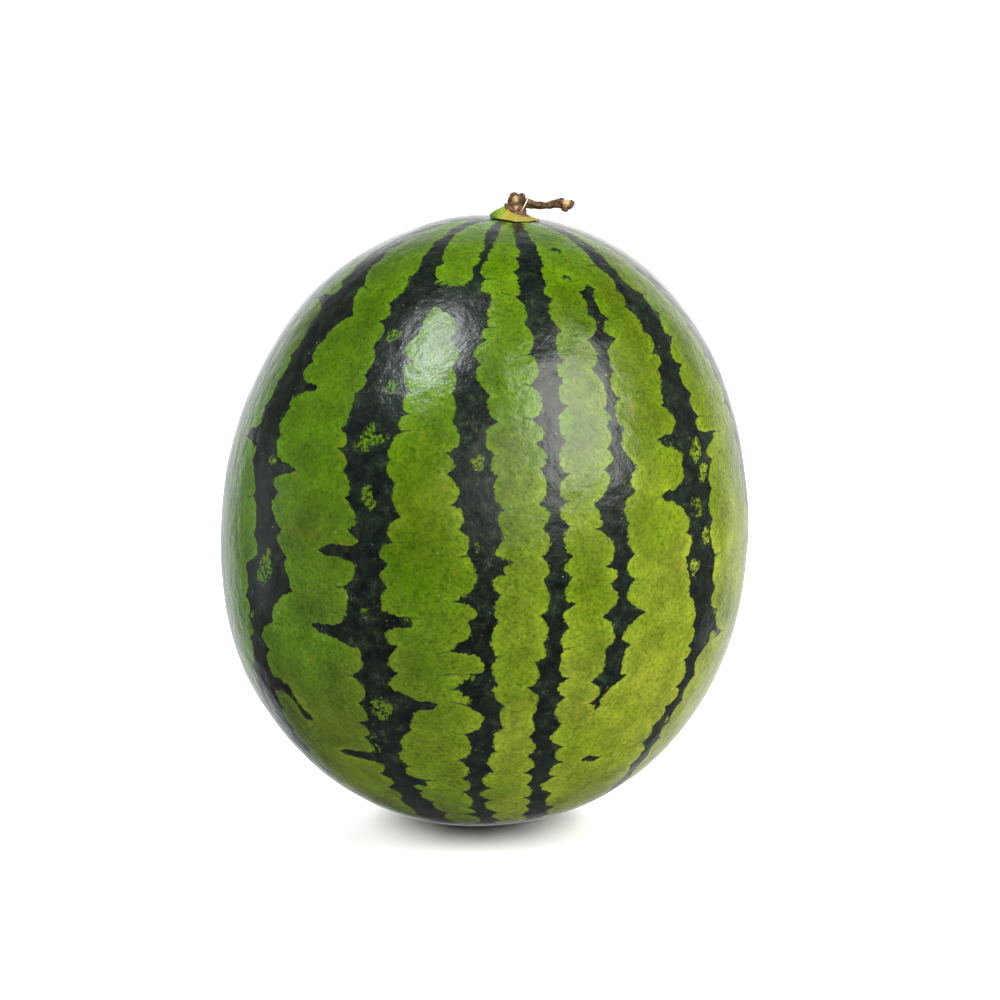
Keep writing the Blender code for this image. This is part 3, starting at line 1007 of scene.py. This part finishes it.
def split_fibre():
    """A strand of bast split off the stalk: pale, dry and slightly streaked."""
    material, tree, mm = new_material("dry_bast_fibre")
    streak = add(tree, "TexNoise", {"Vector": mm, "Scale": 1.0 / 0.4, "Detail": 2.0})
    tone = add(tree, "Mix", {"Factor": streak, "A": "#c9ad80", "B": "#f3e6cc"}, data_type="RGBA")
    bump = add(tree, "Bump", {"Strength": 0.4, "Distance": 0.0001, "Height": streak})
    shader = add(tree, "BsdfPrincipled", {"Base Color": tone, "Roughness": 0.7, "Normal": bump})
    add(tree, "OutputMaterial", {"Surface": shader})
    return material


# ------------------------ studio

FLOOR_REACH = 1.2  # metres
FLOOR_CORNERS = 96
CAMERA_LENS = 200.0
CAMERA_SENSOR = 36.0
CAMERA_DISTANCE = 2.53
CAMERA_RISE = 11.0  # degrees above level
AIM = CORE + Vector((0.00754, 0.0, 0.01891))  # where the camera and the lights point

# Softboxes for the fruit alone, and wide lights that wash only the floor white: azimuth and rise
# in degrees, distance, width and height in metres, watts and colour.
FRUIT_LIGHTS = {
    "key_softbox": (-47.0, 60.0, 1.6, 0.36, 0.7, 23.0, "#f4f8ff"),
    "side_softbox": (45.0, 33.0, 1.8, 1.3, 1.6, 56.0, "#fffdf8"),
}
FLOOR_LIGHTS = {
    "floor_wash_left": (-90.0, 28.0, 2.4, 2.6, 1.5, 116.0, "#ffffff"),
    "floor_wash_right": (90.0, 26.0, 2.4, 2.6, 1.5, 138.0, "#ffffff"),
    "floor_wash_back": (180.0, 32.0, 2.4, 2.6, 1.2, 80.0, "#ffffff"),
}
BACKDROP_STRENGTH = 1.1


def floor_material():
    """Matt white paper sweep."""
    material, tree, mm = new_material("matt_white_paper")
    grain = add(tree, "TexNoise", {"Vector": mm, "Scale": 0.9, "Detail": 2.0})
    tone = add(tree, "Mix", {"Factor": grain, "A": "#f4f4f4", "B": "#fafafa"}, data_type="RGBA")
    shader = add(
        tree, "BsdfPrincipled", {"Base Color": tone, "Roughness": 0.9, "Specular IOR Level": 0.1}
    )
    add(tree, "OutputMaterial", {"Surface": shader})
    return material


def build_floor():
    turns = [math.tau * step / FLOOR_CORNERS for step in range(FLOOR_CORNERS)]
    mesh = bpy.data.meshes.new("paper_floor")
    mesh.from_pydata(
        [(FLOOR_REACH * math.cos(turn), FLOOR_REACH * math.sin(turn), 0.0) for turn in turns],
        [],
        [tuple(range(FLOOR_CORNERS))],
    )
    mesh.materials.append(floor_material())
    floor = put("paper_floor", mesh)
    floor.visible_glossy = False  # the wax reflects the room's dimmer lower half instead
    return floor


def direction(azimuth, rise):
    """Unit vector: azimuth 0 is the camera's side, 90 is +X, rise 90 is up."""
    azimuth, rise = math.radians(azimuth), math.radians(rise)
    level = math.cos(rise)
    return Vector((math.sin(azimuth) * level, -math.cos(azimuth) * level, math.sin(rise)))


def aim(thing, azimuth, rise, distance):
    """Place a light or the camera, and point it at the fruit."""
    thing.location = AIM + direction(azimuth, rise) * distance
    thing.rotation_euler = (AIM - thing.location).to_track_quat("-Z", "Y").to_euler()


def add_light(name, azimuth, rise, distance, width, height, power, colour, lit):
    """A rectangular light that reaches only the things that are lit."""
    lamp = bpy.data.lights.new(name, "AREA")
    lamp.shape = "RECTANGLE"
    lamp.size = width
    lamp.size_y = height
    lamp.energy = power
    lamp.color = linear(colour)[:3]
    light = put(name, lamp)
    aim(light, azimuth, rise, distance)
    light.visible_camera = False
    receivers = bpy.data.collections.new(f"{name}_only")
    for thing in lit:
        receivers.objects.link(thing)
    light.light_linking.receiver_collection = receivers


# The white room's brighter places: azimuth and rise of the middle in degrees, how far the full
# strength and the soft edge reach from it, strength and colour.
ROOM_PATCHES = (
    (0, -90, 0, 90, 0.16, "#ffffff"),
    (8, 18, 6, 26, 1.9, "#ffffff"),
    (-85, 10, 0, 55, 0.2, "#ffffff"),
    (85, 10, 0, 55, 0.25, "#ffffff"),
    (-112, -5, 4, 18, 0.6, "#f6faff"),
    (-161, -8, 16, 25, 1.15, "#f6faff"),
    (158, -8, 16, 35, 1.05, "#ffffff"),
    (180, 12, 8, 32, 0.75, "#ffffff"),
    (180, 20, 0, 60, 0.2, "#ffffff"),
)


def build_world():
    """White room: bright behind and beside the fruit, dim on the camera's side."""
    world = bpy.data.worlds.new("white_room")
    bpy.context.scene.world = world
    world.use_nodes = True
    tree = world.node_tree
    tree.nodes.clear()
    way = add(tree, "TexCoord").outputs["Generated"]
    total = (0.0, 0.0, 0.0)
    for azimuth, rise, full, end, strength, colour in ROOM_PATCHES:
        axis = tuple(direction(azimuth, rise))
        facing = add(tree, "VectorMath", [way, axis], operation="DOT_PRODUCT").outputs["Value"]
        lobe = add(
            tree, "MapRange",
            {"Value": facing, "From Min": math.cos(math.radians(end)),
             "From Max": math.cos(math.radians(full))},
            **SOFT,
        )
        power = add(tree, "Math", [lobe, strength], operation="MULTIPLY")
        total = add(tree, "VectorMath", [linear(colour)[:3], power, total], operation="MULTIPLY_ADD")
    seen = add(tree, "LightPath").outputs["Is Camera Ray"]
    room = add(tree, "Background", {"Color": total})
    backdrop = add(tree, "Background", {"Color": (1.0, 1.0, 1.0, 1.0), "Strength": BACKDROP_STRENGTH})
    mixed = add(tree, "MixShader", [seen, room, backdrop])
    add(tree, "OutputWorld", {"Surface": mixed})


def build_camera():
    lens = bpy.data.cameras.new("camera")
    lens.lens = CAMERA_LENS
    lens.sensor_width = CAMERA_SENSOR
    lens.clip_end = 100.0
    camera = put("camera", lens)
    aim(camera, 0.0, CAMERA_RISE, CAMERA_DISTANCE)
    bpy.context.scene.camera = camera


def build_studio(fruit):
    """Floor, lights, white room and camera."""
    floor = build_floor()
    for name, values in FRUIT_LIGHTS.items():
        add_light(name, *values, lit=fruit)
    for name, values in FLOOR_LIGHTS.items():
        add_light(name, *values, lit=[floor])
    build_world()
    build_camera()


bpy.context.scene.view_settings.view_transform = "Standard"
build_studio((build_rind(), *build_stem()))
